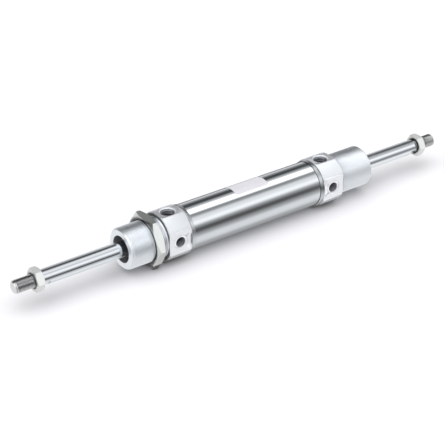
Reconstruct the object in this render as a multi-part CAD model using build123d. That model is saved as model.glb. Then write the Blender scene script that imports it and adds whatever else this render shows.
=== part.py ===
from build123d import *
import math
import os

# Double-rod pneumatic cylinder, 40 mm bore and 100 mm stroke, in millimetres.
# X is the cylinder's axis, +Z is up and the ports face up. The origin lies on the axis, in the
# plane of the right cover's shoulder, where a mounting plate seats on the right nose.

# Motion and overall layout
stroke = 100.0
end_clearance = 0.1          # left between piston and bumper at the end of the stroke
rod_rest_offset = -6.75      # how far the piston rests from the middle of the barrel
rod_reach_at_middle = 98.2   # rod beyond each nose with the piston in the middle

# Clearances
running_gap = 0.03           # between rod or seal and what it slides in
fit_gap = 0.02               # between pieces that are pressed or screwed together
pitch_line_share = 0.325     # thread's pitch line below its outside, as a share of the pitch

# Barrel tube
bore_diameter = 40.0
tube_wall = 1.0

# Covers
cover_rise = 1.8             # cover's outside above the tube's outside
cover_length = 23.0
cover_edge_chamfer = 0.8
port_flat_depth = 1.5        # milled off the top
side_flat_depth = 2.6        # milled off the front and the back
nose_thread_diameter = 38.0
nose_thread_pitch = 1.5
nose_length = 37.0
nose_chamfer = 1.6
recess_room = 5.5            # from the rod to the wall of the nose's recess
recess_depth = 8.5           # open recess in front of the snap ring
collar_length = 4.0          # thin collar rolled on to the tube
collar_root_wall = 1.1
collar_tip_wall = 0.5
spigot_gap = 0.04
spigot_land = 1.3            # between gasket groove and bumper step
rod_way_gap = 0.8            # clear hole round the rod, behind the bush

# Ports, air passages and pivot holes
port_core_diameter = 11.5
port_mouth_chamfer = 1.75
port_depth = 10.5
passage_diameter = 4.0
passage_height = 13.4        # from the axis to the passage's centre line
pivot_core_diameter = 8.6
pivot_depth = 9.0
pivot_mouth_chamfer = 0.5
spot_face_width = 2.7        # ring round the pivot hole
spot_face_depth = 0.4

# Rod guide and sealing pieces
bush_wall = 2.0
bush_length = 28.0
retainer_thickness = 2.0
rod_seal_length = 9.0
rod_seal_lip_gap = 2.6
snap_ring_thickness = 1.2
snap_ring_width = 2.2
snap_ring_groove_depth = 0.8
snap_ring_opening = 30.0     # degrees left open between the two ears
snap_ring_ear_radius = 1.9
snap_ring_hole_diameter = 1.7
snap_ring_direction = 35.0   # degrees from +Y towards +Z
gasket_groove_start = 2.0    # from the cover's face
gasket_groove_width = 3.2
gasket_groove_depth = 2.2
gasket_side_room = 0.2       # each side of the gasket in its groove
gasket_corner_radius = 0.95
bumper_gap = 0.4             # from the bumper to the bore
bumper_wall = 3.38
bumper_step_length = 2.0     # seat of the bumper on the spigot
bumper_stand = 1.5           # how far the bumper stands proud of the spigot

# Piston
piston_land_gap = 0.3        # from the piston's metal to the bore
piston_seal_depth = 4.4
piston_seal_width = 3.8
piston_seal_inset = 2.3      # land outside each piston seal
piston_inner_land = 2.31     # land between seal and wear ring
wear_ring_width = 10.0
wear_ring_thickness = 1.6
magnet_width = 5.0
magnet_cover = 1.12          # metal between the magnet and the wear ring
magnet_wall = 7.2
stud_diameter = 10.0
stud_reach = 10.0            # stud screwed into the right rod
stud_hole_spare = 1.0
stud_o_ring_width = 2.4
stud_o_ring_thickness = 2.0

# Piston rods and rod ends
rod_diameter = 14.0
rod_thread_diameter = 12.0
rod_thread_pitch = 1.25
rod_thread_length = 25.5
rod_thread_chamfer = 1.2
rod_edge_chamfer = 0.5
wrench_flat_length = 6.0
wrench_flat_depth = 1.0
wrench_flat_turn = 40.0      # degrees from +Y towards +Z
jam_nut_wall = 3.5           # from the thread's outside to each flat
jam_nut_thickness = 7.0
jam_nut_mouth = 0.8
jam_nut_turn = 0.0
left_jam_nut_stand_off = 0.3  # from the rod's shoulder
right_jam_nut_stand_off = 2.5

# Mounting nut on the left nose, and chamfer of all the nuts
mounting_nut_wall = 4.0      # from the thread's outside to each flat
mounting_nut_thickness = 8.0
mounting_nut_stand_off = 6.6
mounting_nut_mouth = 1.3
nut_chamfer_angle = 30.0

# Blank name label on the tube
label_length = 35.5
label_thickness = 0.1
label_half_angle = 24.0      # degrees each side of the top line
label_from_right_shoulder = 95.5

# Radii that follow
bore_radius = bore_diameter / 2
tube_radius = bore_radius + tube_wall
cover_radius = tube_radius + cover_rise
port_flat_distance = cover_radius - port_flat_depth
side_flat_distance = cover_radius - side_flat_depth
nose_radius = nose_thread_diameter / 2
rod_radius = rod_diameter / 2
nose_pitch_radius = nose_radius - pitch_line_share * nose_thread_pitch
thread_radius = rod_thread_diameter / 2
rod_pitch_radius = thread_radius - pitch_line_share * rod_thread_pitch
stud_radius = stud_diameter / 2
recess_radius = rod_radius + recess_room
snap_ring_groove_radius = recess_radius + snap_ring_groove_depth
rod_way_radius = rod_radius + rod_way_gap
bush_radius = rod_radius + running_gap + bush_wall
spigot_radius = bore_radius - spigot_gap
gasket_groove_radius = bore_radius - gasket_groove_depth
bumper_radius = bore_radius - bumper_gap
bumper_step_radius = bumper_radius - bumper_wall - fit_gap
land_radius = bore_radius - piston_land_gap
seal_groove_radius = bore_radius - piston_seal_depth
slide_radius = bore_radius - running_gap
wear_groove_radius = slide_radius - wear_ring_thickness - running_gap
magnet_radius = wear_groove_radius - magnet_cover - fit_gap
magnet_inner_radius = magnet_radius - magnet_wall

# Stations along the axis that follow
cover_face = -cover_length
hole_station = cover_face / 2
collar_tip = cover_face - collar_length
gasket_groove_end = cover_face - gasket_groove_start - gasket_groove_width
bumper_step = gasket_groove_end - spigot_land
spigot_end = bumper_step - bumper_step_length
bumper_face = spigot_end - bumper_stand
seal_groove_width = piston_seal_width + 2 * running_gap
piston_half_length = wear_ring_width / 2 + running_gap + piston_inner_land + seal_groove_width + piston_seal_inset
shoulder_span = stroke + 2 * (piston_half_length - bumper_face + end_clearance)
middle = -shoulder_span / 2
left_shoulder = -shoulder_span
nose_face = nose_length
snap_ring_outer_face = nose_face - recess_depth
snap_ring_inner_face = snap_ring_outer_face - snap_ring_thickness
retainer_inner_face = snap_ring_inner_face - retainer_thickness
seal_pocket_floor = retainer_inner_face - rod_seal_length
bush_inner_end = seal_pocket_floor - bush_length

piston_middle = middle + rod_rest_offset
piston_left = piston_middle - piston_half_length
piston_right = piston_middle + piston_half_length
rod_half_length = shoulder_span / 2 + nose_length + rod_reach_at_middle
left_tip = piston_middle - rod_half_length
right_tip = piston_middle + rod_half_length
left_rod_shoulder = left_tip + rod_thread_length
right_rod_shoulder = right_tip - rod_thread_length
left_jam_nut_end = left_rod_shoulder - left_jam_nut_stand_off
left_jam_nut_start = left_jam_nut_end - jam_nut_thickness
right_jam_nut_start = right_rod_shoulder + right_jam_nut_stand_off
right_jam_nut_end = right_jam_nut_start + jam_nut_thickness
mounting_nut_end = left_shoulder - mounting_nut_stand_off
mounting_nut_start = mounting_nut_end - mounting_nut_thickness
full_turn = 360.0


def turned(*corners):
    """A turned piece: (x, radius) corners swept once round the X axis."""
    outline = Polyline(*corners, close=True)
    return revolve(make_face(outline), Axis.X, full_turn)


def ring(start, end, inner_radius, outer_radius):
    """A plain ring between two stations on the X axis."""
    return turned((start, inner_radius), (end, inner_radius), (end, outer_radius), (start, outer_radius))


def other_end(piece):
    """The same piece at the left end of the cylinder."""
    return mirror(piece, about=Plane.YZ.offset(middle))


def drilled(plane, radius, depth):
    """A round drill body going from a plane into the material."""
    return extrude(plane * Circle(radius), -depth)


def under_nut(start, end, outside_radius, pitch_radius):
    """Thread corners under a nut: the two threads meet at their pitch line there."""
    return [(start, outside_radius), (start, pitch_radius), (end, pitch_radius), (end, outside_radius)]


def cover_blank(nut_stations):
    """The turned cover: threaded nose, body, tube collar and spigot, with every bore in it."""
    outline = [
        (nose_face, recess_radius),
        (nose_face, nose_radius - nose_chamfer),
        (nose_face - nose_chamfer, nose_radius),
    ]
    if nut_stations:
        outline += under_nut(*nut_stations, nose_radius, nose_pitch_radius)
    outline += [
        (0, nose_radius),
        (0, cover_radius - cover_edge_chamfer),
        (-cover_edge_chamfer, cover_radius),
        (cover_face + cover_edge_chamfer, cover_radius),
        (cover_face, cover_radius - cover_edge_chamfer),
        (cover_face, tube_radius + collar_root_wall),
        (collar_tip, tube_radius + collar_tip_wall),
        (collar_tip, tube_radius + fit_gap),
        (cover_face, tube_radius + fit_gap),
        (cover_face, spigot_radius),
        (cover_face - gasket_groove_start, spigot_radius),
        (cover_face - gasket_groove_start, gasket_groove_radius),
        (gasket_groove_end, gasket_groove_radius),
        (gasket_groove_end, spigot_radius),
        (bumper_step, spigot_radius),
        (bumper_step, bumper_step_radius),
        (spigot_end, bumper_step_radius),
        (spigot_end, rod_way_radius),
        (bush_inner_end, rod_way_radius),
        (bush_inner_end, bush_radius + fit_gap),
        (seal_pocket_floor, bush_radius + fit_gap),
        (seal_pocket_floor, recess_radius),
        (snap_ring_inner_face, recess_radius),
        (snap_ring_inner_face, snap_ring_groove_radius),
        (snap_ring_outer_face, snap_ring_groove_radius),
        (snap_ring_outer_face, recess_radius),
    ]
    return turned(*outline)


def milled_flat(turn, depth):
    """The slab that a cutter mills off one side of a cover."""
    slab = Pos(hole_station, 0, cover_radius) * Box(cover_length, 2 * cover_radius, 2 * depth)
    return Rot(turn, 0, 0) * slab


def cover(nut_stations=None):
    """A finished cover: three milled flats, the port with its air passage and two pivot holes."""
    blank = cover_blank(nut_stations)
    blank -= milled_flat(0, port_flat_depth)
    for turn in (90, -90):
        blank -= milled_flat(turn, side_flat_depth)

    port_radius = port_core_diameter / 2
    port_mouth = Plane((hole_station, 0, port_flat_distance), x_dir=(1, 0, 0), z_dir=(0, 0, 1))
    blank -= drilled(port_mouth, port_radius, port_depth)
    countersink = Cone(port_radius, port_radius + port_mouth_chamfer, port_mouth_chamfer)
    blank -= port_mouth.offset(-port_mouth_chamfer / 2) * countersink
    passage_start = Plane((spigot_end, 0, passage_height), x_dir=(0, 1, 0), z_dir=(-1, 0, 0))
    blank -= drilled(passage_start, passage_diameter / 2, hole_station - spigot_end)

    core_radius = pivot_core_diameter / 2
    for side in (1, -1):
        pivot_mouth = Plane((hole_station, side * side_flat_distance, 0), x_dir=(1, 0, 0), z_dir=(0, side, 0))
        blank -= drilled(pivot_mouth, core_radius + spot_face_width, spot_face_depth)
        blank -= drilled(pivot_mouth, core_radius, pivot_depth)
        lip = Cone(core_radius, core_radius + pivot_mouth_chamfer, pivot_mouth_chamfer)
        lip_plane = pivot_mouth.offset(-spot_face_depth - pivot_mouth_chamfer / 2)
        blank -= lip_plane * lip
    return blank


def tube():
    """The thin drawn barrel tube, its ends butting on both covers."""
    return ring(left_shoulder + cover_length, cover_face, bore_radius, tube_radius)


def rod_bush():
    """The sintered guide bush pressed into a cover."""
    return ring(bush_inner_end + fit_gap, seal_pocket_floor, rod_radius + running_gap, bush_radius)


def rod_seal():
    """The lip seal and wiper that hugs the rod, open towards the pressure side."""
    inner = rod_radius + running_gap
    outer = recess_radius - fit_gap
    inside = seal_pocket_floor + fit_gap
    outside = retainer_inner_face - fit_gap
    root = (inner + outer) / 2
    lip = rod_seal_lip_gap / 2
    return turned(
        (outside, inner),
        (outside, outer),
        (inside, outer),
        (inside, root + lip),
        (inside + rod_seal_lip_gap, root),
        (inside, root - lip),
        (inside, inner),
    )


def seal_retainer():
    """The flat washer between the rod seal and the snap ring."""
    return ring(retainer_inner_face, snap_ring_inner_face - fit_gap, rod_way_radius, recess_radius - fit_gap)


def snap_ring():
    """The internal snap ring: an open ring with two drilled ears, sprung into its groove."""
    outer = snap_ring_groove_radius - fit_gap
    inner = outer - snap_ring_width
    face = Circle(outer) - Circle(inner)
    half_opening = math.radians(snap_ring_opening / 2)
    reach = 2 * outer
    edge = (reach * math.cos(half_opening), reach * math.sin(half_opening))
    mouth = make_face(Polyline((0, 0), edge, (edge[0], -edge[1]), close=True))
    face -= mouth
    ear_way = inner + snap_ring_width / 2 - snap_ring_ear_radius / 2
    ear_turn = snap_ring_opening / 2 + math.degrees(snap_ring_ear_radius / ear_way)
    for turn in (ear_turn, -ear_turn):
        spot = Rot(0, 0, turn) * Pos(ear_way, 0)
        face += (spot * Circle(snap_ring_ear_radius)) & Circle(outer)
        face -= spot * Circle(snap_ring_hole_diameter / 2)
    plane = Plane((snap_ring_inner_face, 0, 0), x_dir=(0, 1, 0), z_dir=(1, 0, 0))
    blank = extrude(plane * (Rot(0, 0, snap_ring_direction) * face), snap_ring_thickness - fit_gap)
    return blank


def tube_gasket():
    """The ring that seals the tube on the spigot, squeezed to an oval section."""
    outer = slide_radius
    inner = gasket_groove_radius + fit_gap
    centre = gasket_groove_end + gasket_groove_width / 2
    width = gasket_groove_width - 2 * gasket_side_room
    section = Pos(centre, (outer + inner) / 2) * RectangleRounded(width, outer - inner, gasket_corner_radius)
    return revolve(section, Axis.X, full_turn)


def bumper():
    """The elastic ring that stops the piston at the end of its stroke."""
    return ring(bumper_face, bumper_step - fit_gap, bumper_radius - bumper_wall, bumper_radius)


def hex_nut(start, thickness, flat_radius, hole_radius, mouth, turn):
    """A hexagon nut along X, its corners chamfered on both faces."""
    section = RegularPolygon(flat_radius, 6, major_radius=False)
    plane = Plane((start, 0, 0), x_dir=(0, 1, 0), z_dir=(1, 0, 0))
    blank = extrude(plane * (Rot(0, 0, turn) * section), thickness)
    corner_radius = flat_radius / math.cos(math.pi / 6)
    drop = (corner_radius - flat_radius) * math.tan(math.radians(nut_chamfer_angle))
    rounding = turned(
        (start, 0),
        (start, flat_radius),
        (start + drop, corner_radius),
        (start + thickness - drop, corner_radius),
        (start + thickness, flat_radius),
        (start + thickness, 0),
    )
    hole = turned(
        (start, 0),
        (start, hole_radius + mouth),
        (start + mouth, hole_radius),
        (start + thickness - mouth, hole_radius),
        (start + thickness, hole_radius + mouth),
        (start + thickness, 0),
    )
    return (blank & rounding) - hole


def mounting_nut():
    """The large nut on the left nose, one flat down."""
    flat_radius = nose_radius + mounting_nut_wall
    hole_radius = nose_pitch_radius + fit_gap
    return hex_nut(mounting_nut_start, mounting_nut_thickness, flat_radius, hole_radius, mounting_nut_mouth, 0)


def name_label():
    """The blank label film on top of the tube."""
    centre = -label_from_right_shoulder
    start = centre - label_length / 2
    film = ring(start, start + label_length, tube_radius, tube_radius + label_thickness)
    reach = 2 * tube_radius
    half = math.radians(label_half_angle)
    corner = (reach * math.sin(half), reach * math.cos(half))
    wedge = make_face(Polyline((0, 0), corner, (-corner[0], corner[1]), close=True))
    plane = Plane((start, 0, 0), x_dir=(0, 1, 0), z_dir=(1, 0, 0))
    return film & extrude(plane * wedge, label_length)


def wrench_flats(start):
    """What the two wrench flats take off a rod, from a station towards +X."""
    middle_of_flat = start + wrench_flat_length / 2
    cuts = Pos(middle_of_flat, rod_radius, 0) * Box(wrench_flat_length, 2 * wrench_flat_depth, rod_diameter)
    cuts += Rot(180, 0, 0) * cuts
    return Rot(wrench_flat_turn, 0, 0) * cuts


def left_rod():
    """The left piston rod with its thread, wrench flats and the stud that carries the piston."""
    stud_end = piston_right + stud_reach
    blank = turned(
        (left_tip, 0),
        (left_tip, thread_radius - rod_thread_chamfer),
        (left_tip + rod_thread_chamfer, thread_radius),
        *under_nut(left_jam_nut_start, left_jam_nut_end, thread_radius, rod_pitch_radius),
        (left_rod_shoulder, thread_radius),
        (left_rod_shoulder, rod_radius - rod_edge_chamfer),
        (left_rod_shoulder + rod_edge_chamfer, rod_radius),
        (piston_left, rod_radius),
        (piston_left, stud_radius),
        (stud_end, stud_radius),
        (stud_end, 0),
    )
    return blank - wrench_flats(left_rod_shoulder)


def right_rod():
    """The right piston rod, tapped at its inner end for the left rod's stud."""
    hole_radius = stud_radius + fit_gap
    hole_end = piston_right + stud_reach + stud_hole_spare
    blank = turned(
        (piston_right, hole_radius),
        (piston_right, rod_radius),
        (right_rod_shoulder - rod_edge_chamfer, rod_radius),
        (right_rod_shoulder, rod_radius - rod_edge_chamfer),
        (right_rod_shoulder, thread_radius),
        *under_nut(right_jam_nut_start, right_jam_nut_end, thread_radius, rod_pitch_radius),
        (right_tip - rod_thread_chamfer, thread_radius),
        (right_tip, thread_radius - rod_thread_chamfer),
        (right_tip, 0),
        (hole_end, 0),
        (hole_end, hole_radius),
    )
    return blank - wrench_flats(right_rod_shoulder - wrench_flat_length)


def piston_half():
    """The right half of the piston, with the grooves for its seal, wear ring and magnet."""
    groove_outer = piston_right - piston_seal_inset
    groove_inner = groove_outer - seal_groove_width
    wear_end = piston_middle + wear_ring_width / 2 + running_gap
    magnet_end = piston_middle + magnet_width / 2 + fit_gap
    o_ring_end = piston_middle + stud_o_ring_width / 2 + fit_gap
    hole_radius = stud_radius + fit_gap
    o_ring_radius = hole_radius + stud_o_ring_thickness + fit_gap
    return turned(
        (piston_middle, o_ring_radius),
        (piston_middle, magnet_inner_radius - fit_gap),
        (magnet_end, magnet_inner_radius - fit_gap),
        (magnet_end, magnet_radius + fit_gap),
        (piston_middle, magnet_radius + fit_gap),
        (piston_middle, wear_groove_radius),
        (wear_end, wear_groove_radius),
        (wear_end, land_radius),
        (groove_inner, land_radius),
        (groove_inner, seal_groove_radius),
        (groove_outer, seal_groove_radius),
        (groove_outer, land_radius),
        (piston_right, land_radius),
        (piston_right, hole_radius),
        (o_ring_end, hole_radius),
        (o_ring_end, o_ring_radius),
    )


def piston_seal():
    """The right lip seal of the piston, its mouth towards the pressure side."""
    outside = piston_right - piston_seal_inset - running_gap
    inside = outside - piston_seal_width
    inner = seal_groove_radius + running_gap
    outer = slide_radius
    root = (inner + outer) / 2
    lip = (outer - inner) / 4
    return turned(
        (inside, inner),
        (outside, inner),
        (outside, root - lip),
        (outside - piston_seal_width / 2, root),
        (outside, root + lip),
        (outside, outer),
        (inside, outer),
    )


def other_half(piece):
    """The same piston piece on the left side of the piston."""
    return mirror(piece, about=Plane.YZ.offset(piston_middle))


def wear_ring():
    """The plastic guide ring round the middle of the piston."""
    half = wear_ring_width / 2
    return ring(piston_middle - half, piston_middle + half, slide_radius - wear_ring_thickness, slide_radius)


def magnet_ring():
    """The magnet ring that position switches sense through the tube."""
    half = magnet_width / 2
    return ring(piston_middle - half, piston_middle + half, magnet_inner_radius, magnet_radius)


def stud_o_ring():
    """The ring that seals the piston on the stud."""
    half = stud_o_ring_width / 2
    inner = stud_radius + fit_gap
    return ring(piston_middle - half, piston_middle + half, inner, inner + stud_o_ring_thickness)


def jam_nut(start):
    """A thin lock nut on a rod end, from a station towards +X."""
    flat_radius = thread_radius + jam_nut_wall
    hole_radius = rod_pitch_radius + fit_gap
    return hex_nut(start, jam_nut_thickness, flat_radius, hole_radius, jam_nut_mouth, jam_nut_turn)


pieces = {
    "cylinder_tube": tube(),
    "mounting_nut": mounting_nut(),
    "name_label": name_label(),
    "left_piston_rod": left_rod(),
    "right_piston_rod": right_rod(),
    "left_jam_nut": jam_nut(left_jam_nut_start),
    "right_jam_nut": jam_nut(right_jam_nut_start),
    "wear_ring": wear_ring(),
    "magnet_ring": magnet_ring(),
    "stud_o_ring": stud_o_ring(),
}

from_left_shoulder = (left_shoulder - mounting_nut_start, left_shoulder - mounting_nut_end)
pieces["right_cover"] = cover()
pieces["left_cover"] = other_end(cover(from_left_shoulder))

paired_at_ends = {
    "rod_bush": rod_bush,
    "rod_seal": rod_seal,
    "seal_retainer": seal_retainer,
    "snap_ring": snap_ring,
    "tube_gasket": tube_gasket,
    "bumper": bumper,
}
for name, make in paired_at_ends.items():
    made = make()
    pieces["right_" + name] = made
    pieces["left_" + name] = other_end(made)

for name, make in {"piston_half": piston_half, "piston_seal": piston_seal}.items():
    made = make()
    pieces["right_" + name] = made
    pieces["left_" + name] = other_half(made)

os.makedirs("parts", exist_ok=True)
for name, piece in pieces.items():
    export_step(piece, f"parts/{name}.step")
print(len(pieces), "pieces; shoulder to shoulder", round(shoulder_span, 2), "mm")
print("rod from", round(left_tip, 2), "to", round(right_tip, 2), "mm, piston at", round(piston_middle, 2))
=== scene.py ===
# %% [markdown]
# A double-rod air cylinder: a polished tube between two satin covers, a chromed rod with a lock nut
# at each end and a large hexagon nut on the left nose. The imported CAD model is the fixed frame. This
# file adds what CAD leaves out, which is the screw threads, the finishes, the light and the camera.

import math

import bmesh
import bpy
import numpy as np
from mathutils import Matrix, Vector


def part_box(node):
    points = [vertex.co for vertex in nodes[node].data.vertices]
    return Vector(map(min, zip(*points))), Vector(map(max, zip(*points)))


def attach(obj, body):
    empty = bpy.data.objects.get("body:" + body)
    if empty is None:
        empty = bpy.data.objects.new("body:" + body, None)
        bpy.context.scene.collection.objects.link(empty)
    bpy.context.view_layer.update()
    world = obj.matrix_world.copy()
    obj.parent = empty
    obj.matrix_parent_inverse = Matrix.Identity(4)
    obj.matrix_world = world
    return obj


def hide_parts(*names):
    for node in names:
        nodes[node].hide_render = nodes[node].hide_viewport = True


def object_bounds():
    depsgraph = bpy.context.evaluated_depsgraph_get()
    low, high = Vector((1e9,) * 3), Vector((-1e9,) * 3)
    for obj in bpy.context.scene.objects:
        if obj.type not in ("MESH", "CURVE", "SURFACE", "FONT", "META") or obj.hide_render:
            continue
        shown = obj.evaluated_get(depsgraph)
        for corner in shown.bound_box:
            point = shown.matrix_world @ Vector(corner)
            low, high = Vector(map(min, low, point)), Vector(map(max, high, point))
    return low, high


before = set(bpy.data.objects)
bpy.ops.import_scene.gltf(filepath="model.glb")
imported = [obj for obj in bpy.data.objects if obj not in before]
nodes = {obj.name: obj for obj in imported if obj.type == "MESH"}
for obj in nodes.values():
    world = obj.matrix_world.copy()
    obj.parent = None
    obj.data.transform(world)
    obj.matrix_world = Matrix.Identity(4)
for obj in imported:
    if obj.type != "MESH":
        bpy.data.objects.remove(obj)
cad_low, cad_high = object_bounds()
mm = 0.001
micron = 0.001 * mm
print("nodes:", len(nodes), "box:", [round(v, 4) for v in cad_low], [round(v, 4) for v in cad_high])

# %% [markdown]
# The photograph looks down on the cylinder from the front left through a long lens, so that parallel
# edges hardly converge. The camera stands where two equal covers and two equal noses fit the picture
# best. A long lens from far away is set with a narrow field of view, not with an orthographic camera,
# because the near end is still a little larger than the far one.

# %% Camera
picture_width = 444
camera_target = Vector((-0.1375, -0.0195, 0.0050))
camera_distance = 1.299
camera_turn = math.radians(-35.78)
camera_rise = math.radians(29.81)
sensor_width = 36.0
focal_pixels = 1479.4
nearest_seen = 0.05
farthest_seen = 60.0

back = Vector((
    math.sin(camera_turn) * math.cos(camera_rise),
    -math.cos(camera_turn) * math.cos(camera_rise),
    math.sin(camera_rise),
))
camera_data = bpy.data.cameras.new("camera")
camera_data.sensor_width = sensor_width
camera_data.lens = focal_pixels / picture_width * sensor_width
camera_data.clip_start = nearest_seen
camera_data.clip_end = farthest_seen
camera = bpy.data.objects.new("camera", camera_data)
camera.location = camera_target + back * camera_distance
camera.rotation_mode = "QUATERNION"
camera.rotation_quaternion = (-back).to_track_quat("-Z", "Y")
bpy.context.scene.collection.objects.link(camera)
bpy.context.scene.camera = camera
print("camera at", [round(v, 3) for v in camera.location], "lens", round(camera_data.lens, 1))

# %% [markdown]
# The studio and the finishes are node trees, which Blender works out anew for each point that it
# draws. They could be put together by hand in the shader editor. Here a few helpers write them, since
# code can be read, repeated and changed in one place: one makes a node, one feeds a socket, and the
# others make the kinds of node that come back most.

# %% Node helpers
def new_node(tree, kind, **values):
    """A value goes to the node's socket of that name, or else to its setting of that name."""
    node = tree.nodes.new(kind)
    for name, value in values.items():
        if name in node.inputs:
            node.inputs[name].default_value = value
        else:
            setattr(node, name, value)
    return node


def feed(tree, socket, value):
    """Gives a socket a number or a colour, or links another node's output to it."""
    if isinstance(value, bpy.types.NodeSocket):
        tree.links.new(value, socket)
    elif isinstance(value, tuple):
        socket.default_value = (*value, 1)
    else:
        socket.default_value = value


def math_node(tree, operation, *values):
    node = new_node(tree, "ShaderNodeMath", operation=operation)
    for socket, value in zip(node.inputs, values):
        feed(tree, socket, value)
    return node.outputs[0]


def map_range(tree, value, start, end, low=0.0, high=1.0, blend="LINEAR"):
    """Turns a value between start and end into one between low and high."""
    node = new_node(tree, "ShaderNodeMapRange", interpolation_type=blend)
    limits = {"Value": value, "From Min": start, "From Max": end, "To Min": low, "To Max": high}
    for name, limit in limits.items():
        feed(tree, node.inputs[name], limit)
    return node.outputs[0]


def mix_colours(tree, factor, first, second):
    node = new_node(tree, "ShaderNodeMix", data_type="RGBA")
    for name, value in (("Factor", factor), ("A", first), ("B", second)):
        feed(tree, node.inputs[name], value)
    return node.outputs["Result"]


print("node helpers:", [helper.__name__ for helper in (new_node, feed, math_node, map_range, mix_colours)])

# %% [markdown]
# Polished metal shows the room more than itself, so the studio is made of tones all round: white
# softboxes above and in front, dark gaps between and beside them, and a grey table below. The tones
# depend on the direction round the cylinder's axis, which draws long stripes on the tube as strip
# lights do. The stripes that the tube shows are rows here, in their order round the axis.

# %% Tones round the tube
# Each row is (name, first angle, last angle, grey). The angles are in degrees from the front horizon
# (-Y) up over the top to the back. Between two rows the brightness changes evenly.
tube_tones = [
    ("table behind", -180, -130, 0.24),
    ("table below", -98, -92, 0.40),
    ("table in front", -64, -42, 0.80),
    ("front gap, lower edge", -25, -24, 0.42),
    ("front gap", -6, 4, 0.10),
    ("front gap, upper edge", 15, 17, 0.34),
    ("front softbox", 31, 38, 1.12),
    ("front softbox, upper part", 50, 57, 0.88),
    ("seam between the softboxes", 71, 79, 0.28),
    ("top softbox", 92, 103, 2.20),
    ("back gap, upper edge", 114, 116, 0.62),
    ("back gap", 131, 146, 0.07),
    ("back gap, lower edge", 159, 162, 0.36),
    ("table behind", 172, 180, 0.70),
]
print("tones round the tube:", len(tube_tones))

# %% [markdown]
# Real softboxes stand near the cylinder, so its two rods see them from other places than the tube
# does, and the stripes on them lie higher or lower. A room with the softboxes as real cards would give
# that by itself, but then each card would have to be found by trial. Lists of their own are simpler.

# %% Tones round the rods
left_rod_tones = [
    ("table behind", -180, -130, 0.60),
    ("table below", -110, -85, 0.74),
    ("table in front", -70, -48, 0.90),
    ("front gap, lower edge", -28, -26, 0.48),
    ("front gap", -16, -6, 0.08),
    ("front gap, upper edge", 6, 9, 0.42),
    ("front softbox", 22, 38, 1.05),
    ("front softbox, upper part", 52, 62, 0.64),
    ("top softbox", 74, 88, 0.94),
    ("back gap, upper edge", 98, 100, 0.60),
    ("back gap", 112, 132, 0.05),
    ("back gap, lower edge", 146, 150, 0.38),
    ("table behind", 165, 180, 0.60),
]
right_rod_tones = [
    ("table behind", -180, -130, 0.60),
    ("table below", -100, -80, 0.82),
    ("table in front", -62, -46, 0.98),
    ("front gap, lower edge", -24, -22, 0.50),
    ("front gap", -12, -2, 0.22),
    ("front gap, upper edge", 10, 12, 0.48),
    ("front softbox", 30, 42, 1.16),
    ("front softbox, upper part", 60, 70, 0.62),
    ("seam between the softboxes", 85, 95, 0.38),
    ("back gap", 108, 128, 0.10),
    ("back gap, lower edge", 146, 150, 0.42),
    ("table behind", 165, 180, 0.60),
]
print("tones round the rods:", len(left_rod_tones), len(right_rod_tones))

# %% [markdown]
# What faces left, as the end of the nose and the chamfers of the nuts do, sees the left side of the
# room. Its tones are quieter, which leaves the end of the nose an even light grey. How far a direction
# leans towards +X decides which list it meets.

# %% Tones on the left side, and which tones go where
left_side_tones = [
    ("table below", -180, -110, 0.70),
    ("table in front", -90, -35, 0.62),
    ("front softbox, lower edge", -5, 5, 0.58),
    ("front softbox", 35, 60, 0.95),
    ("top softbox", 75, 105, 1.30),
    ("back gap, upper edge", 118, 124, 0.70),
    ("back gap", 138, 168, 0.02),
    ("table behind", 176, 180, 0.45),
]
# Each row gives the lean at which its tones begin to take over from those of the row above, and the
# lean from which they are alone.
studio_parts = [
    (left_side_tones, None, None),
    (left_rod_tones, -0.250, 0.350),
    (tube_tones, 0.440, 0.460),
    (right_rod_tones, 0.568, 0.592),
]
light_strength = 1.39
for tones, start, end in studio_parts:
    brightest = max(tones, key=lambda tone: tone[3])
    print(len(tones), "tones from", start, "to", end, "brightest:", brightest[0])

# %% [markdown]
# A world shader gives such a room without lamps or cards in the picture. A painted picture of a room
# would do as well, but it would be one more file. Two directions that differ in angle by a full turn
# are the same, so the angle becomes a place from 0 to 1 on a colour ramp. The camera itself sees
# plain white behind the object.

# %% Studio world
def tone_ramp(tree, place, tones):
    node = new_node(tree, "ShaderNodeValToRGB")
    node.color_ramp.interpolation = "LINEAR"
    elements = node.color_ramp.elements
    elements.remove(elements[-1])
    stops = [(angle / 360 + 0.5, grey) for _, first, last, grey in tones for angle in (first, last)]
    elements[0].position = stops[0][0]
    elements[0].color = (stops[0][1],) * 3 + (1,)
    for position, grey in stops[1:]:
        elements.new(position).color = (grey,) * 3 + (1,)
    feed(tree, node.inputs[0], place)
    return node.outputs["Color"]


world = bpy.data.worlds.new("studio")
bpy.context.scene.world = world
world.use_nodes = True
tree = world.node_tree
tree.nodes.clear()
direction = tree.nodes.new("ShaderNodeTexCoord").outputs["Generated"]
split = tree.nodes.new("ShaderNodeSeparateXYZ")
feed(tree, split.inputs[0], direction)
forward = math_node(tree, "MULTIPLY", split.outputs["Y"], -1.0)
around = math_node(tree, "ARCTAN2", split.outputs["Z"], forward)
place = math_node(tree, "ADD", math_node(tree, "DIVIDE", around, 2 * math.pi), 0.5)
room = tone_ramp(tree, place, left_side_tones)
for tones, start, end in studio_parts[1:]:
    share = map_range(tree, split.outputs["X"], start, end, blend="SMOOTHSTEP")
    room = mix_colours(tree, share, room, tone_ramp(tree, place, tones))
studio_light = new_node(tree, "ShaderNodeBackground", Strength=light_strength)
feed(tree, studio_light.inputs["Color"], room)
seen_white = new_node(tree, "ShaderNodeBackground", Color=(1, 1, 1, 1), Strength=1.0)
choose = tree.nodes.new("ShaderNodeMixShader")
feed(tree, choose.inputs[0], tree.nodes.new("ShaderNodeLightPath").outputs["Is Camera Ray"])
feed(tree, choose.inputs[1], studio_light.outputs[0])
feed(tree, choose.inputs[2], seen_white.outputs[0])
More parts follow.
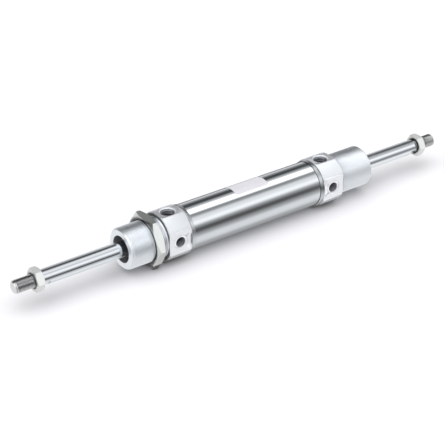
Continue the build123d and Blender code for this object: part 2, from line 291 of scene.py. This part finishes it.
feed(tree, tree.nodes.new("ShaderNodeOutputWorld").inputs[0], choose.outputs[0])
bpy.context.scene.view_settings.view_transform = "Standard"
print("studio world:", len(tree.nodes), "nodes")

# %% [markdown]
# The cylinder lies on a plain pale table. A plane of matt paper takes the shadow, and the light is so
# strong that the paper comes out white wherever there is none. The plane is hidden from mirror
# reflections, because the studio's tones already say what the metal sees below.

# %% Floor
floor_height = cad_low.z
floor_reach = 12.0
paper_colour = (0.50, 0.50, 0.515)

corners = [(-1, -1), (1, -1), (1, 1), (-1, 1)]
floor_mesh = bpy.data.meshes.new("floor")
floor_points = [(x * floor_reach, y * floor_reach, floor_height) for x, y in corners]
floor_mesh.from_pydata(floor_points, [], [(0, 1, 2, 3)])
floor = bpy.data.objects.new("floor", floor_mesh)
bpy.context.scene.collection.objects.link(floor)
floor.visible_glossy = False
paper = bpy.data.materials.new("white_paper")
paper.use_nodes = True
paper_shader = paper.node_tree.nodes["Principled BSDF"]
paper_shader.inputs["Base Color"].default_value = (*paper_colour, 1)
paper_shader.inputs["Roughness"].default_value = 1.0
paper_shader.inputs["Specular IOR Level"].default_value = 0.0
floor_mesh.materials.append(paper)
print("floor at", round(floor_height / mm, 2), "mm")

# %% [markdown]
# A room of tones alone lights from all sides and gives a weak shadow. One broad softbox overhead makes
# it as dark right under the tube, and as soft further out, as it is in the photograph. A sun lamp
# would give it a hard edge. The softbox is hidden from reflections as well, so that it lights matt
# surfaces and leaves the stripes on the tube as they are.

# %% Overhead softbox
softbox_length = 5.0
softbox_width = 4.2
softbox_power = 116.0
softbox_place = (-0.10, 0.10, 1.90)

softbox_data = bpy.data.lights.new("overhead_softbox", "AREA")
softbox_data.shape = "RECTANGLE"
softbox_data.size = softbox_length
softbox_data.size_y = softbox_width
softbox_data.energy = softbox_power
softbox = bpy.data.objects.new("overhead_softbox", softbox_data)
softbox.location = softbox_place
softbox.visible_glossy = False
bpy.context.scene.collection.objects.link(softbox)
print("softbox", softbox_length, "by", softbox_width, "m at", softbox_place)

# %% [markdown]
# Every metal here was made on a lathe or a grinder, or drawn through a die, so its fine marks run
# round the axis or along it. This group turns a point into (place along the axis, radius, angle), so
# that a mark that runs round the piece is simply one that doesn't change with the angle. All pieces
# share the frame of the CAD model, whose X is the axis, so the object's own coordinates will do.

# %% Group: coordinates along and round the axis
FLOAT = "NodeSocketFloat"
VECTOR = "NodeSocketVector"


def make_group(name, numbers, results):
    """Numbers are the inputs with their usual values, and results are the outputs with their kinds."""
    group = bpy.data.node_groups.new(name, "ShaderNodeTree")
    for title, usual in numbers.items():
        socket = group.interface.new_socket(name=title, in_out="INPUT", socket_type=FLOAT)
        socket.default_value = usual
    for title, kind in results.items():
        group.interface.new_socket(name=title, in_out="OUTPUT", socket_type=kind)
    return group, group.nodes.new("NodeGroupInput").outputs, group.nodes.new("NodeGroupOutput").inputs


def combine(tree, *values):
    node = tree.nodes.new("ShaderNodeCombineXYZ")
    for socket, value in zip(node.inputs, values):
        feed(tree, socket, value)
    return node.outputs[0]


axis_coordinates, _, result = make_group("axis_coordinates", {}, {"Vector": VECTOR})
split = axis_coordinates.nodes.new("ShaderNodeSeparateXYZ")
point = axis_coordinates.nodes.new("ShaderNodeTexCoord").outputs["Object"]
feed(axis_coordinates, split.inputs[0], point)
x, y, z = split.outputs
squares = math_node(axis_coordinates, "ADD",
                    math_node(axis_coordinates, "MULTIPLY", y, y),
                    math_node(axis_coordinates, "MULTIPLY", z, z))
radius = math_node(axis_coordinates, "SQRT", squares)
angle = math_node(axis_coordinates, "ARCTAN2", z, y)
feed(axis_coordinates, result["Vector"], combine(axis_coordinates, x, radius, angle))
print("group", axis_coordinates.name)

# %% [markdown]
# Tool marks are noise that is stretched in one of these three directions: very fine along the axis and
# long round it for turning, the other way about for drawing. The group gives the height of the marks
# for the relief, and a mask from 0 to 1 for the polish.

# %% Group: tool marks
marks_detail = 3.0
marks_contrast = (0.35, 0.65)

tool_marks, given, result = make_group(
    "tool_marks",
    {"Along": 1000.0, "Radial": 1000.0, "Around": 1.0},
    {"Height": FLOAT, "Mask": FLOAT},
)
coordinates = new_node(tool_marks, "ShaderNodeGroup", node_tree=axis_coordinates)
stretch = new_node(tool_marks, "ShaderNodeVectorMath", operation="MULTIPLY")
feed(tool_marks, stretch.inputs[0], coordinates.outputs[0])
feed(tool_marks, stretch.inputs[1], combine(tool_marks, given["Along"], given["Radial"], given["Around"]))
noise = new_node(tool_marks, "ShaderNodeTexNoise", Scale=1.0, Detail=marks_detail, Roughness=0.6)
feed(tool_marks, noise.inputs["Vector"], stretch.outputs[0])
feed(tool_marks, result["Height"], noise.outputs["Fac"])
feed(tool_marks, result["Mask"], map_range(tool_marks, noise.outputs["Fac"], *marks_contrast))
print("group", tool_marks.name)

# %% [markdown]
# No metal is quite even. Oil, handling and the etch of a bath leave soft patches, and this group makes
# them of plain noise, a few to the width of a cover. A stain could be painted by hand on each piece,
# but noise needs no painting and fits a piece of any shape.

# %% Group: cloudy patches
patches_contrast = (0.3, 0.7)

cloudy_patches, given, result = make_group("cloudy_patches", {"Size": 60.0}, {"Value": FLOAT})
noise = new_node(cloudy_patches, "ShaderNodeTexNoise", Detail=4.0, Roughness=0.55)
point = cloudy_patches.nodes.new("ShaderNodeTexCoord").outputs["Object"]
feed(cloudy_patches, noise.inputs["Vector"], point)
feed(cloudy_patches, noise.inputs["Scale"], given["Size"])
feed(cloudy_patches, result["Value"], map_range(cloudy_patches, noise.outputs["Fac"], *patches_contrast))
print("group", cloudy_patches.name)

# %% [markdown]
# The gap beside a nut, the foot of a step and the inside of a hole are dark on a real cylinder, since
# little light gets in. A world of tones reaches into them too freely, so that shade is painted into the
# colour instead. This group measures how open the surface is at each point, and gives 0 where it is
# closed and 1 where it is open. Each finish says how far its walls reach and which open shares count.

# %% Group: open surface, for painted shade
painted_shade_openness, given, result = make_group(
    "painted_shade_openness",
    {"Reach": 5 * mm, "Closed": 0.45, "Open": 0.90},
    {"Value": FLOAT},
)
occlusion = new_node(painted_shade_openness, "ShaderNodeAmbientOcclusion", samples=8)
feed(painted_shade_openness, occlusion.inputs["Distance"], given["Reach"])
openness = map_range(painted_shade_openness, occlusion.outputs["AO"], given["Closed"], given["Open"],
                     blend="SMOOTHSTEP")
feed(painted_shade_openness, result["Value"], openness)
print("group", painted_shade_openness.name)

# %% [markdown]
# A finish is four things: its colour, how rough it is, a very shallow relief of marks, and how much
# shade is painted into its colour in gaps. One function builds every material from those numbers. The
# colour varies a little in the soft patches, and the roughness follows the marks, because a flat colour
# looks like plastic.

# %% Finish from numbers
def scaled(colour, factor):
    return tuple(channel * factor for channel in colour)


def group_node(tree, group, **values):
    return new_node(tree, "ShaderNodeGroup", node_tree=group, **values)


def finish(name, colour, roughness, marks, relief, metallic, uneven, patch_size, spread, strength, gap):
    """Uneven is how much darker the patches are, and spread is how far the marks take the roughness
    up and down. Relief is the height of the marks, and strength is how much of it shows."""
    material = bpy.data.materials.new(name)
    material.use_nodes = True
    tree = material.node_tree
    shader = tree.nodes["Principled BSDF"]
    shader.inputs["Metallic"].default_value = metallic
    patches = group_node(tree, cloudy_patches, Size=patch_size)
    tint = mix_colours(tree, patches.outputs["Value"], scaled(colour, 1 - uneven), colour)
    # Painted shade: where the surface is closed, the colour darkens to stand in for the shade there.
    if gap:
        openness = group_node(tree, painted_shade_openness, Reach=gap["reach"], Closed=gap["closed"], Open=gap["open"])
        tint = mix_colours(tree, openness.outputs["Value"], scaled(colour, gap["kept"]), tint)
    feed(tree, shader.inputs["Base Color"], tint)
    lines = group_node(tree, tool_marks, **marks)
    smoothest = roughness * (1 - spread)
    roughest = roughness * (1 + spread)
    polish = map_range(tree, lines.outputs["Mask"], 0.0, 1.0, smoothest, roughest)
    feed(tree, shader.inputs["Roughness"], polish)
    bump = new_node(tree, "ShaderNodeBump", Strength=strength, Distance=relief)
    feed(tree, bump.inputs["Height"], lines.outputs["Height"])
    feed(tree, shader.inputs["Normal"], bump.outputs[0])
    return material


def metal(name, colour, roughness, marks, relief, metallic=1.0, uneven=0.06, gap=None):
    return finish(name, colour, roughness, marks, relief, metallic, uneven,
                  patch_size=60.0, spread=0.15, strength=0.35, gap=gap)


finishes = {}
print("each finish uses:", [group.name for group in (cloudy_patches, painted_shade_openness, tool_marks)])

# %% [markdown]
# The covers are turned from aluminium bar and anodised, which leaves a satin that scatters most of the
# light as matt paint does, so only a part of it counts as metal. The flats are milled and mirror the
# room more than the round part does, and so do the thread and the end of the nose. The port, the
# pivot holes and the recess see little of the room, so their shade is painted into the colour, and the
# tapped holes are painted dark grey for it. The cover's collar is rolled down smooth over the tube.

# %% Aluminium finishes
# Marks are noise scales: along the axis and across it per metre, and round it per radian. A gap is
# painted shade: it says how far walls reach to shade each other, which open shares count as closed and
# as open, and how much of the colour is kept where the surface is closed.
white_aluminium = (0.895, 0.93, 0.97)
turned_marks = dict(Along=9000.0, Radial=9000.0, Around=0.6)
milled_marks = dict(Along=5000.0, Radial=300.0, Around=6.0)
cover_painted_shade = dict(reach=12.0 * mm, closed=0.30, open=0.66, kept=0.05)
spot_face_painted_shade = dict(reach=1.6 * mm, closed=0.55, open=0.98, kept=0.30)
hole_painted_shade = dict(reach=12.0 * mm, closed=0.10, open=0.95, kept=0.30)
collar_painted_shade = dict(reach=4.0 * mm, closed=0.45, open=0.90, kept=0.05)
nose_groove_painted_shade = dict(reach=0.8 * mm, closed=0.45, open=0.90, kept=0.85)

finishes["cover_aluminium"] = metal(
    "satin_aluminium", colour=scaled(white_aluminium, 0.54), roughness=0.36,
    marks=turned_marks, relief=4 * micron, metallic=0.25, uneven=0.03, gap=cover_painted_shade)
finishes["milled_flat"] = metal(
    "milled_aluminium", colour=(0.94, 0.955, 0.995), roughness=0.36,
    marks=milled_marks, relief=3 * micron, uneven=0.03, gap=spot_face_painted_shade)
# The tapped holes' dark grey colour is painted shade.
finishes["tapped_hole"] = metal(
    "tapped_aluminium_painted_shade", colour=(0.30, 0.305, 0.34), roughness=0.34,
    marks=turned_marks, relief=4 * micron, metallic=0.7, gap=hole_painted_shade)
finishes["recess_bore"] = metal(
    "bored_aluminium", colour=(0.56, 0.565, 0.58), roughness=0.34,
    marks=turned_marks, relief=4 * micron, metallic=0.4, gap=hole_painted_shade)
finishes["rolled_collar"] = metal(
    "rolled_collar", colour=scaled(white_aluminium, 0.52), roughness=0.24,
    marks=turned_marks, relief=3 * micron, uneven=0.05, gap=collar_painted_shade)
finishes["nose_thread"] = metal(
    "threaded_aluminium", colour=scaled(white_aluminium, 0.92), roughness=0.36,
    marks=turned_marks, relief=3 * micron, uneven=0.03, gap=nose_groove_painted_shade)
finishes["piston_aluminium"] = metal(
    "turned_aluminium", colour=(0.82, 0.83, 0.85), roughness=0.25,
    marks=turned_marks, relief=4 * micron)
print("aluminium finishes:", sorted(finishes))

# %% [markdown]
# The tube is drawn stainless steel, so its marks run along it. The rods are ground and then chromed,
# which leaves the smoothest surface of all, and their threads are rolled and stay duller. The large
# nut is bright zinc, and the small lock nuts are a duller zinc. The steel ring in the recess is
# phosphated dark grey, and the bush that carries the rod is bronze powder, pressed and sintered.

# %% Steel, chrome, zinc and bronze finishes
drawn_marks = dict(Along=6.0, Radial=200.0, Around=90.0)
ground_marks = dict(Along=14000.0, Radial=200.0, Around=1.5)
faced_marks = dict(Along=4000.0, Radial=4000.0, Around=1.0)
rolled_marks = dict(Along=3000.0, Radial=3000.0, Around=2.0)
pressed_marks = dict(Along=2500.0, Radial=2500.0, Around=40.0)
stamped_marks = dict(Along=3000.0, Radial=3000.0, Around=9.0)
# Painted shade: these darken the colour beside the nuts, at the rod's shoulder and in thread grooves.
nut_painted_shade = dict(reach=8.0 * mm, closed=0.73, open=0.84, kept=0.04)
lock_nut_painted_shade = dict(reach=4.0 * mm, closed=0.73, open=0.84, kept=0.0)
rod_painted_shade = dict(reach=2.5 * mm, closed=0.50, open=0.85, kept=0.20)
rod_groove_painted_shade = dict(reach=1.5 * mm, closed=0.55, open=0.90, kept=0.35)

finishes["tube_steel"] = metal(
    "polished_steel_tube", colour=(0.585, 0.612, 0.638), roughness=0.10,
    marks=drawn_marks, relief=1 * micron, uneven=0.03)
finishes["rod_chrome"] = metal(
    "hard_chrome", colour=(0.60, 0.63, 0.665), roughness=0.07,
    marks=ground_marks, relief=1 * micron, uneven=0.02, gap=rod_painted_shade)
finishes["rod_thread"] = metal(
    "rolled_thread_steel", colour=(0.70, 0.705, 0.71), roughness=0.16,
    marks=rolled_marks, relief=4 * micron, gap=rod_groove_painted_shade)
finishes["plated_steel"] = metal(
    "bright_zinc", colour=(0.72, 0.745, 0.73), roughness=0.22,
    marks=faced_marks, relief=3 * micron, uneven=0.08, gap=nut_painted_shade)
finishes["lock_nut"] = metal(
    "dull_zinc", colour=(0.67, 0.685, 0.675), roughness=0.34,
    marks=faced_marks, relief=3 * micron, metallic=0.75, uneven=0.08, gap=lock_nut_painted_shade)
finishes["ring_steel"] = metal(
    "phosphated_steel", colour=(0.30, 0.31, 0.31), roughness=0.34,
    marks=stamped_marks, relief=6 * micron, metallic=0.5)
finishes["bush_bronze"] = metal(
    "sintered_bronze", colour=(0.62, 0.45, 0.26), roughness=0.45,
    marks=pressed_marks, relief=10 * micron, uneven=0.2)
print("metals:", sorted(finishes))

# %% [markdown]
# Rubber, urethane, moulded plastic and the label's film are dull and slightly grained. They hardly
# show in a closed cylinder, but the seal can be seen past the rod, and the pieces are also looked at
# one by one. The same function makes them, with grain in place of tool marks and no metal in it.

# %% Rubber, plastic and label finishes
grain_round = 0.02


def moulded(name, colour, roughness, grain, relief, uneven=0.15):
    """Grain is the noise scale along the axis and across it, per metre."""
    marks = dict(Along=grain, Radial=grain, Around=grain * grain_round)
    return finish(name, colour, roughness, marks, relief, metallic=0.0, uneven=uneven,
                  patch_size=90.0, spread=0.20, strength=0.5, gap=None)


finishes["seal_rubber"] = moulded(
    "nitrile_rubber", colour=(0.025, 0.025, 0.028), roughness=0.45, grain=3000.0, relief=20 * micron)
finishes["bumper_urethane"] = moulded(
    "amber_urethane", colour=(0.72, 0.60, 0.33), roughness=0.35, grain=1500.0, relief=10 * micron)
finishes["guide_plastic"] = moulded(
    "guide_plastic", colour=(0.62, 0.57, 0.48), roughness=0.40, grain=2500.0, relief=10 * micron)
finishes["magnet_ferrite"] = moulded(
    "bonded_ferrite", colour=(0.07, 0.07, 0.075), roughness=0.55, grain=4000.0, relief=20 * micron)
finishes["label_film"] = moulded(
    "blank_label_film", colour=(0.37, 0.366, 0.39), roughness=0.35, grain=400.0, relief=3 * micron,
    uneven=0.04)
print("all finishes:", len(finishes))

# %% [markdown]
# The pieces of the CAD model keep their shape and only change their material. Each one carries the
# name of its material slot, and the finishes above have the same names. The lock nuts share a slot
# with the large nut, but they are duller in the photograph, so they are picked out by name.

# %% Finishes on the CAD pieces
for piece_name, piece in nodes.items():
    for slot_index, material in enumerate(piece.data.materials):
        finish_name = "lock_nut" if "jam_nut" in piece_name else material.name.split(".")[0]
        piece.data.materials[slot_index] = finishes[finish_name]
print("finished", len(nodes), "CAD pieces")

# %% [markdown]
# A screw thread is one groove that winds along a cylinder, cut by a single-point tool or rolled between
# dies. Its profile is a narrow crest and two flanks, about 60 degrees apart, with a rounded root
# between them. Six points to a pitch are enough for it. The groove dies out before a shoulder, where
# the tool is drawn back, and that is a smooth fade of its depth.

# %% Thread profile
profile_shares = (0.0, 0.125, 0.4375, 0.5, 0.625, 0.6875)
profile_depths = (0.0, 0.0, 0.96, 1.0, 1.0, 0.96)
root_share = 0.61
pitch_line_share = 0.325


def groove_depth(share):
    """How deep the groove is at a share of the pitch: 0 on the crest and 1 at the root."""
    return np.interp(share, (*profile_shares, 1.0), (*profile_depths, 0.0))


def faded(distance, length):
    """Rises smoothly from 0 to 1 over a length."""
    t = np.clip(distance / length, 0.0, 1.0)
    return t * t * (3 - 2 * t)


print("deepest groove at", profile_shares[profile_depths.index(max(profile_depths))], "of the pitch")

# %% [markdown]
# A bump map would leave the thread's outline smooth, and a modifier that screws a profile leaves two
# open ends. So the thread is built as a mesh: rows of points follow the profile along the axis, and
# each point also moves along with its angle, so that the end of a turn meets the start of the next.
# What reaches past either end is pressed flat onto it, and the doubled points there are welded.

# %% Thread surface
thread_weld = 0.0002 * mm


def thread_points(span, pitch, crest, root, trim, fades, steps):
    """Rows of points round the X axis for a right-hand thread from span[0] to span[1]."""
    start, end = span
    turns = math.ceil((end - start) / pitch) + 1
    rows = len(profile_shares)
    turn, row = np.divmod(np.arange((turns + 1) * rows), rows)
    station = start - pitch + pitch * (turn + np.array(profile_shares)[row])
    share_round = np.arange(steps) / steps
    x = np.clip(station[:, None] + pitch * share_round[None, :], start, end)
    share = ((x - start) / pitch - share_round[None, :]) % 1.0
    fade = np.ones_like(x)
    if fades[0]:
        fade = fade * faded(x - start, fades[0])
    if fades[1]:
        fade = fade * faded(end - x, fades[1])
    radius = trim(x, crest + (root - crest) * groove_depth(share) * fade)
    angle = 2 * math.pi * share_round[None, :]
    return np.stack((x, radius * np.cos(angle), radius * np.sin(angle)), axis=-1)


def add_thread(mesh, span, pitch, crest, root, trim, fades, steps, place=Matrix(), inside=False):
    """Joins the rows with faces. Place puts the X axis elsewhere, and inside turns the faces inward."""
    points = thread_points(span, pitch, crest, root, trim, fades, steps)
    rows = len(profile_shares)
    corners = [[mesh.verts.new(place @ Vector(point)) for point in line] for line in points]
    for i in range(len(corners) - 1 - rows):
        for j in range(steps):
            if j + 1 < steps:
                ahead, ahead_next = corners[i][j + 1], corners[i + 1][j + 1]
            else:
                ahead, ahead_next = corners[i + rows][0], corners[i + 1 + rows][0]
            loop = (corners[i][j], ahead, ahead_next, corners[i + 1][j])
            mesh.faces.new(loop[::-1] if inside else loop)
    added = [corner for line in corners for corner in line]
    bmesh.ops.remove_doubles(mesh, verts=added, dist=thread_weld)
    loose = [corner for corner in mesh.verts if not corner.link_faces]
    bmesh.ops.delete(mesh, geom=loose, context="VERTS")


print("a turn of thread has", len(profile_shares), "rows")

# %% [markdown]
# A CAD piece is never changed itself. A copy of its mesh is taken, the plain wall is removed where a
# thread goes, and the copy stands in for the piece under a name of its own. Edges of more than 20
# degrees stay sharp, as machined edges are, and the rest is shaded smooth.

# %% Copies of CAD pieces
tiny = 0.01 * mm
cad_weld = 0.0001 * mm
sharp_limit = math.radians(20)


def cad_copy(name):
    mesh = bmesh.new()
    mesh.from_mesh(nodes[name].data)
    bmesh.ops.remove_doubles(mesh, verts=mesh.verts, dist=cad_weld)
    return mesh


def remove_faces(mesh, chosen):
    faces = [face for face in mesh.faces if chosen(face.calc_center_median())]
    bmesh.ops.delete(mesh, geom=faces, context="FACES")


def from_axis(point):
    return math.hypot(point.y, point.z)


def turned_end(name, side, length):
    """The X of the end's tip, the direction from there inward, and the stretch that its thread takes."""
    low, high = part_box(name)
    tip, inward = (low.x, 1) if side == "left" else (high.x, -1)
    return tip, inward, sorted((tip, tip + inward * length))


def add_piece(name, mesh, body, replaced, finish_names, finish_at):
    """Finish_at gives the name of the finish at a face's centre, out of finish_names."""
    data = bpy.data.meshes.new(name)
    mesh.to_mesh(data)
    mesh.free()
    data.polygons.foreach_set("use_smooth", [True] * len(data.polygons))
    data.set_sharp_from_angle(angle=sharp_limit)
    for finish_name in finish_names:
        data.materials.append(finishes[finish_name])
    for polygon in data.polygons:
        polygon.material_index = finish_names.index(finish_at(polygon.center))
    piece = bpy.data.objects.new(name, data)
    bpy.context.scene.collection.objects.link(piece)
    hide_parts(replaced)
    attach(piece, body)
    print(name, len(data.polygons), "faces")


# %% [markdown]
# Each cover is bar stock turned to a long nose with a fine M38 thread, so that a nut or a flange can
# clamp the cylinder anywhere along it. Under the nut the thread stays inside its pitch line, as the
# nut's own thread fills the rest, and at the tip a chamfer leads the nut on.

# %% Nose thread
nose_radius = 19.0 * mm
nose_length = 37.0 * mm
nose_pitch = 1.5 * mm
nose_root = nose_radius - root_share * nose_pitch
nose_pitch_line = nose_radius - pitch_line_share * nose_pitch
nose_chamfer = 1.6 * mm
nose_inside = nose_radius - nose_chamfer - tiny
nose_run_out = 1.5 * nose_pitch
nose_steps = 144
nut_engaged_inset = 0.7 * mm


def cut_back(x, radius, tip, inward, end_radius, nut, inset, pitch_line):
    """Cuts a thread back at the tip's chamfer and, where a nut sits, to its pitch line."""
    radius = np.minimum(radius, end_radius + (x - tip) * inward)
    if nut:
        engaged = (x > nut[0].x + inset) & (x < nut[1].x - inset)
        radius = np.where(engaged, np.minimum(radius, pitch_line), radius)
    return radius


def wind_nose_thread(mesh, side, tip, inward, span):
    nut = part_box("mounting_nut") if side == "left" else None
    fades = (0, nose_run_out) if side == "left" else (nose_run_out, 0)

    def trim(x, radius):
        return cut_back(x, radius, tip, inward, nose_radius - nose_chamfer,
                        nut, nut_engaged_inset, nose_pitch_line)

    remove_faces(mesh, lambda p: span[0] + tiny < p.x < span[1] - tiny and from_axis(p) > nose_inside)
    add_thread(mesh, span, nose_pitch, nose_radius, nose_root, trim, fades, nose_steps)


print("nose thread root radius", round(nose_root / mm, 3), "mm")

# %% [markdown]
# The air port on top is tapped for a hose fitting. The CAD model has a plain wall there, which comes
# out of the copy down to the depth that the tap reaches, so the wall is first cut across at that
# depth. The thread is wound about its own X axis and then turned into the hole. At the mouth it is
# opened by the lead chamfer that a tapped hole gets.

# %% Port thread
cover_length = 23.0 * mm
port_flat = 21.3 * mm
port_core = 5.75 * mm
port_root = 6.55 * mm
port_pitch = 1.34 * mm
port_mouth = 7.5 * mm
port_depth = 10.5 * mm
port_thread_depth = 5.6 * mm
port_fades = (0, port_pitch)
port_steps = 72


def hole_place(mouth, into, side_axis):
    """Turns the thread's X axis into the hole and starts it at the mouth."""
    turn = Vector(into).to_track_quat("X", side_axis)
    return Matrix.Translation(mouth) @ turn.to_matrix().to_4x4()


def lead_chamfer(mouth):
    """Opens a tapped hole to the radius of its mouth, less by as much as a point is deep."""
    return lambda depth, radius: np.maximum(radius, mouth - depth)


def tap_port(mesh, hole_x):
    def in_port(p):
        return math.hypot(p.x - hole_x, p.y) < port_mouth and port_flat - port_depth + tiny < p.z

    wall = [face for face in mesh.faces if in_port(face.calc_center_median())]
    edges = [edge for face in wall for edge in face.edges]
    points = [point for face in wall for point in face.verts]
    cut_height = port_flat - port_thread_depth
    bmesh.ops.bisect_plane(mesh, geom=list(dict.fromkeys(wall + edges + points)),
                           plane_co=(0, 0, cut_height), plane_no=(0, 0, 1))
    remove_faces(mesh, lambda p: in_port(p) and cut_height < p.z < port_flat - tiny)
    add_thread(mesh, (0, port_thread_depth), port_pitch, port_core, port_root, lead_chamfer(port_mouth),
               port_fades, port_steps, place=hole_place((hole_x, 0, port_flat), (0, 0, -1), "Y"), inside=True)


print("port thread", round(port_thread_depth / mm, 1), "mm deep")

# %% [markdown]
# The pivot holes in the front and back flats take the pins of a bracket that the cylinder swings in.
# Each lies in a shallow spot face, a round seat that gives the pin's shoulder a true surface, so the
# thread starts at the seat and not at the flat. It is made as the port's is, once for each flat.

# %% Pivot hole threads
side_flat = 20.2 * mm
spot_depth = 0.4 * mm
pivot_core = 4.3 * mm
pivot_root = 4.95 * mm
pivot_pitch = 1.5 * mm
pivot_mouth = 4.8 * mm
pivot_depth = 9.0 * mm
pivot_fades = (0.6 * pivot_pitch, 1.5 * pivot_pitch)
pivot_steps = 56


def tap_pivot_hole(mesh, hole_x, toward):
    """Toward is -1 for the front flat and 1 for the back flat."""
    seat = side_flat - spot_depth
    length = pivot_depth - spot_depth

    def in_pivot(p):
        return math.hypot(p.x - hole_x, p.z) < pivot_mouth and tiny < seat - p.y * toward < length - tiny

    remove_faces(mesh, in_pivot)
    add_thread(mesh, (0, length), pivot_pitch, pivot_core, pivot_root, lead_chamfer(pivot_mouth), pivot_fades,
               pivot_steps, place=hole_place((hole_x, seat * toward, 0), (0, -toward, 0), "Z"), inside=True)


print("pivot threads", round((pivot_depth - spot_depth) / mm, 1), "mm deep")

# %% [markdown]
# One cover carries six finishes. They could be split over separate pieces, but a real cover is one
# piece of metal. So each face takes its finish by where its centre lies: on the nose, on the collar,
# in a tapped hole, in the recess or on a flat. Whatever is left is satin.

# %% Threaded covers
collar_inside = 20.9 * mm
recess_wall = 14.0 * mm
recess_depth = 12.0 * mm
port_lip = 0.9 * mm
port_floor = 8.0 * mm
cover_finishes = [
    "cover_aluminium",
    "nose_thread",
    "rolled_collar",
    "tapped_hole",
    "recess_bore",
    "milled_flat",
]


def cover_finish(centre, from_tip):
    """From_tip is how far the face lies from the end of the nose."""
    beside_hole = from_tip - nose_length - cover_length / 2
    if abs(from_tip) < tiny:
        return "nose_thread"
    if tiny < from_tip < nose_length - tiny and from_axis(centre) > nose_inside:
        return "nose_thread"
    if from_tip > nose_length + cover_length + tiny and from_axis(centre) > collar_inside:
        return "rolled_collar"
    if math.hypot(beside_hole, centre.y) < port_root + tiny and port_floor < centre.z < port_flat - port_lip:
        return "tapped_hole"
    if math.hypot(beside_hole, centre.z) < pivot_root and abs(centre.y) < side_flat - spot_depth - tiny:
        return "tapped_hole"
    if tiny < from_tip < recess_depth and from_axis(centre) < recess_wall:
        return "recess_bore"
    if abs(centre.z - port_flat) < tiny or abs(abs(centre.y) - side_flat) < spot_depth + tiny:
        return "milled_flat"
    return "cover_aluminium"


def threaded_cover(side):
    name = side + "_cover"
    mesh = cad_copy(name)
    tip, inward, span = turned_end(name, side, nose_length)
    hole_x = tip + inward * nose_length + inward * cover_length / 2
    wind_nose_thread(mesh, side, tip, inward, span)
    tap_port(mesh, hole_x)
    for toward in (-1, 1):
        tap_pivot_hole(mesh, hole_x, toward)
    add_piece(side + "_threaded_cover", mesh, "barrel", name,
              cover_finishes, lambda centre: cover_finish(centre, (centre.x - tip) * inward))


threaded_cover("left")
threaded_cover("right")

# %% [markdown]
# The rod ends carry a rolled M12 fine thread for a clevis or a bracket, with a lead chamfer at the tip.
# The thread is duller than the chromed rod, because the chrome is ground off or masked before rolling.
# It is made as the nose thread is, and its run-out ends at the shoulder of the rod.

# %% Threaded rod ends
rod_thread_radius = 6.0 * mm
rod_thread_length = 25.5 * mm
rod_thread_pitch = 1.25 * mm
rod_thread_root = rod_thread_radius - root_share * rod_thread_pitch
rod_pitch_line = rod_thread_radius - pitch_line_share * rod_thread_pitch
rod_chamfer = 1.2 * mm
rod_steps = 72
jam_engaged_inset = 0.4 * mm


def threaded_rod(side):
    name = side + "_piston_rod"
    mesh = cad_copy(name)
    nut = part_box(side + "_jam_nut")
    tip, inward, span = turned_end(name, side, rod_thread_length)
    fades = (0, rod_thread_pitch) if side == "left" else (rod_thread_pitch, 0)

    def trim(x, radius):
        return cut_back(x, radius, tip, inward, rod_thread_radius - rod_chamfer,
                        nut, jam_engaged_inset, rod_pitch_line)

    remove_faces(mesh, lambda p: span[0] + tiny < p.x < span[1] - tiny)
    add_thread(mesh, span, rod_thread_pitch, rod_thread_radius, rod_thread_root, trim, fades, rod_steps)
    add_piece(side + "_threaded_rod", mesh, "rod", name, ["rod_chrome", "rod_thread"],
              lambda centre: "rod_thread" if span[0] - tiny < centre.x < span[1] - tiny else "rod_chrome")


threaded_rod("left")
threaded_rod("right")
